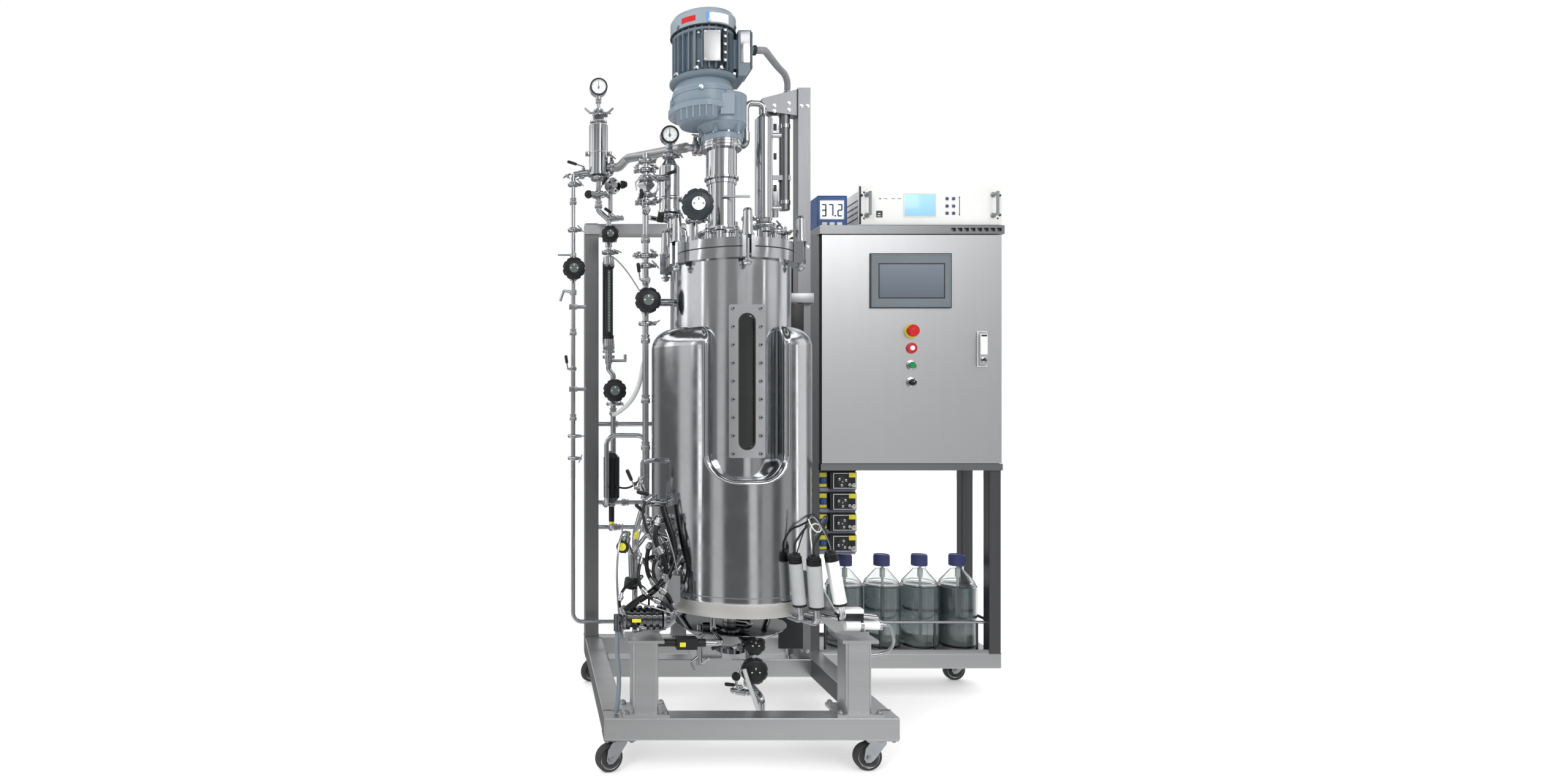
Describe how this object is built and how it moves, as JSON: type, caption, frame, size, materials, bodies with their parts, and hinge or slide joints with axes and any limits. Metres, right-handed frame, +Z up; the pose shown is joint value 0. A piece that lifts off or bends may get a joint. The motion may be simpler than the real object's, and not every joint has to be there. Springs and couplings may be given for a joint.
{
  "type": "pilot-scale bioreactor skid",
  "caption": "Jacketed stirred culture vessel on a wheeled skid, with steam and gas piping, valves, feed bottles, pumps and a control cabinet whose door opens.",
  "frame": {"origin": "centre of the footprint's bounding box, on the floor", "axes": "+Z up, the operator stands on the -Y side and looks along +Y, +X runs from the vessel to the control cabinet"},
  "size_m": [1.4966, 0.85, 2.131],
  "materials": {
    "brushed_stainless": "brushed stainless steel, grain 320",
    "polished_stainless": "electropolished stainless steel",
    "bright_zinc": "bright zinc plate over pressed steel",
    "blue_grey_paint": "semi-gloss machine enamel over cast iron and aluminium",
    "light_grey_paint": "semi-gloss enamel over pressed steel",
    "white_paint": "fine textured powder coat",
    "blue_paint": "satin powder coat",
    "panel_grey": "moulded housing, satin",
    "black_plastic": "glass-filled nylon, satin",
    "blue_grey_plastic": "moulded, satin",
    "white_plastic": "moulded, semi-gloss",
    "red_plastic": "moulded, gloss",
    "green_plastic": "moulded, gloss",
    "dark_blue_plastic": "moulded polypropylene, satin",
    "black_rubber": "smooth extruded hose and cable",
    "grey_tread": "moulded tread on a nylon rim",
    "borosilicate_glass": "clear, slightly grey"
  },
  "bodies": {
    "skid": {"skid_frame": "brushed_stainless", "piping_frame": "brushed_stainless", "cabinet_frame": "brushed_stainless", "caster_plates": "bright_zinc", "vessel_legs": "brushed_stainless", "vessel_shell": "polished_stainless", "insulation_jacket": "polished_stainless", "lid": "polished_stainless", "lid_clamps": "polished_stainless", "sight_glass_frame": "polished_stainless", "sight_glass": "borosilicate_glass", "drive_lantern": "polished_stainless", "gearbox": "blue_grey_paint", "motor_housing": "blue_grey_paint", "fan_cowl": "light_grey_paint", "terminal_box": "blue_grey_paint", "mast": "brushed_stainless", "condenser": "polished_stainless", "filter_housings": "polished_stainless", "gauge_cases": "polished_stainless", "valve_bodies": "polished_stainless", "process_pipes": "polished_stainless", "tri_clamps": "polished_stainless", "flow_meter": "black_plastic", "solenoid_valves": "black_plastic", "sensor_probes": "white_plastic", "flexible_lines": "black_rubber", "cabinet_box": "brushed_stainless", "control_gear": "panel_grey", "media_bottles": "borosilicate_glass", "bottle_caps": "dark_blue_plastic", "pump_housings": "black_plastic", "gas_analyser": "white_paint", "display_unit": "blue_paint"},
    "fork_front_left": {"caster_fork_front_left": "bright_zinc"},
    "wheel_front_left": {"caster_wheel_front_left": "grey_tread"},
    "fork_front_right": {"caster_fork_front_right": "bright_zinc"},
    "wheel_front_right": {"caster_wheel_front_right": "grey_tread"},
    "fork_rear_left": {"caster_fork_rear_left": "bright_zinc"},
    "wheel_rear_left": {"caster_wheel_rear_left": "grey_tread"},
    "fork_rear_right": {"caster_fork_rear_right": "bright_zinc"},
    "wheel_rear_right": {"caster_wheel_rear_right": "grey_tread"},
    "agitator": {"agitator": "polished_stainless"},
    "motor_fan": {"motor_fan": "black_plastic"},
    "door": {"cabinet_door": "brushed_stainless", "touch_panel": "panel_grey"},
    "door_handle": {"door_handle": "bright_zinc"},
    "emergency_stop": {"emergency_stop": "red_plastic"},
    "stop_button": {"stop_button": "white_plastic"},
    "start_button": {"start_button": "green_plastic"},
    "key_switch": {"key_switch": "black_plastic"},
    "steam_handwheel": {"steam_handwheel": "black_plastic"},
    "air_handwheel": {"air_handwheel": "black_plastic"},
    "water_handwheel": {"water_handwheel": "black_plastic"},
    "sparge_handwheel": {"sparge_handwheel": "black_plastic"},
    "lid_handwheel": {"lid_handwheel": "blue_grey_plastic"},
    "sample_handwheel": {"sample_handwheel": "black_plastic"},
    "drain_handwheel": {"drain_handwheel": "black_plastic"},
    "needle_exhaust": {"gauge_needle_exhaust": "black_plastic"},
    "needle_inlet": {"gauge_needle_inlet": "black_plastic"}
  },
  "joints": [
    {"name": "swivel_front_left", "type": "hinge", "parent": "skid", "child": "fork_front_left", "pos_m": [-0.6083, -0.383, 0.08], "axis": [0, 0, 1], "continuous": true},
    {"name": "roll_front_left", "type": "hinge", "parent": "fork_front_left", "child": "wheel_front_left", "pos_m": [-0.63461, -0.39258, 0.0375], "axis": [0.342, -0.9397, 0], "continuous": true},
    {"name": "swivel_front_right", "type": "hinge", "parent": "skid", "child": "fork_front_right", "pos_m": [0.0897, -0.383, 0.08], "axis": [0, 0, 1], "continuous": true},
    {"name": "roll_front_right", "type": "hinge", "parent": "fork_front_right", "child": "wheel_front_right", "pos_m": [0.0617, -0.383, 0.0375], "axis": [0, -1, 0], "continuous": true},
    {"name": "swivel_rear_left", "type": "hinge", "parent": "skid", "child": "fork_rear_left", "pos_m": [-0.6083, 0.383, 0.08], "axis": [0, 0, 1], "continuous": true},
    {"name": "roll_rear_left", "type": "hinge", "parent": "fork_rear_left", "child": "wheel_rear_left", "pos_m": [-0.63124, 0.36694, 0.0375], "axis": [0.5736, -0.8192, 0], "continuous": true},
    {"name": "swivel_rear_right", "type": "hinge", "parent": "skid", "child": "fork_rear_right", "pos_m": [0.7017, 0.383, 0.08], "axis": [0, 0, 1], "continuous": true},
    {"name": "roll_rear_right", "type": "hinge", "parent": "fork_rear_right", "child": "wheel_rear_right", "pos_m": [0.6737, 0.383, 0.0375], "axis": [0, -1, 0], "continuous": true},
    {"name": "agitator_turn", "type": "hinge", "parent": "skid", "child": "agitator", "pos_m": [-0.2783, -0.149, 1], "axis": [0, 0, 1], "continuous": true},
    {"name": "motor_fan_turn", "type": "hinge", "parent": "skid", "child": "motor_fan", "pos_m": [-0.3333, -0.149, 2.11], "axis": [0, 0, 1], "continuous": true},
    {"name": "door_swing", "type": "hinge", "parent": "skid", "child": "door", "pos_m": [0.1417, 0.197, 1.172], "axis": [0, 0, -1], "range_deg": [0, 95]},
    {"name": "handle_turn", "type": "hinge", "parent": "door", "child": "door_handle", "pos_m": [0.6717, 0.186, 1.136], "axis": [0, 1, 0], "range_deg": [0, 90]},
    {"name": "emergency_stop_press", "type": "slide", "parent": "door", "child": "emergency_stop", "axis": [0, 1, 0], "range_m": [0, 0.0045]},
    {"name": "stop_button_press", "type": "slide", "parent": "door", "child": "stop_button", "axis": [0, 1, 0], "range_m": [0, 0.003], "stiffness_N_per_m": 500},
    {"name": "start_button_press", "type": "slide", "parent": "door", "child": "start_button", "axis": [0, 1, 0], "range_m": [0, 0.003], "stiffness_N_per_m": 500},
    {"name": "key_turn", "type": "hinge", "parent": "door", "child": "key_switch", "pos_m": [0.4367, 0.191, 1.0605], "axis": [0, 1, 0], "range_deg": [0, 90]},
    {"name": "steam_valve_turn", "type": "hinge", "parent": "skid", "child": "steam_handwheel", "pos_m": [-0.6943, 0.281, 1.456], "axis": [0, 1, 0], "range_deg": [0, 1080]},
    {"name": "air_valve_turn", "type": "hinge", "parent": "skid", "child": "air_handwheel", "pos_m": [-0.5693, 0.281, 1.575], "axis": [0, 1, 0], "range_deg": [0, 1080]},
    {"name": "water_valve_turn", "type": "hinge", "parent": "skid", "child": "water_handwheel", "pos_m": [-0.5533, 0.281, 1.034], "axis": [0, 1, 0], "range_deg": [0, 1080]},
    {"name": "sparge_valve_turn", "type": "hinge", "parent": "skid", "child": "sparge_handwheel", "pos_m": [-0.5003, -0.169, 1.29], "axis": [0, 1, 0], "range_deg": [0, 1080]},
    {"name": "lid_valve_turn", "type": "hinge", "parent": "skid", "child": "lid_handwheel", "pos_m": [-0.3753, -0.273, 1.546], "axis": [0, 1, 0], "range_deg": [0, 1080]},
    {"name": "sample_valve_turn", "type": "hinge", "parent": "skid", "child": "sample_handwheel", "pos_m": [-0.2043, -0.229, 0.298], "axis": [0, 1, 0], "range_deg": [0, 1080]},
    {"name": "drain_valve_turn", "type": "hinge", "parent": "skid", "child": "drain_handwheel", "pos_m": [-0.2043, -0.229, 0.222], "axis": [0, 1, 0], "range_deg": [0, 1080]},
    {"name": "exhaust_needle_turn", "type": "hinge", "parent": "skid", "child": "needle_exhaust", "pos_m": [-0.6053, 0.317, 2.1], "axis": [0, 1, 0], "range_deg": [-135, 135]},
    {"name": "inlet_needle_turn", "type": "hinge", "parent": "skid", "child": "needle_inlet", "pos_m": [-0.4163, -0.055, 1.814], "axis": [0, 1, 0], "range_deg": [-135, 135]}
  ],
  "couplings": [
    {"joint": "motor_fan_turn", "follows": "agitator_turn", "ratio": 6}
  ]
}
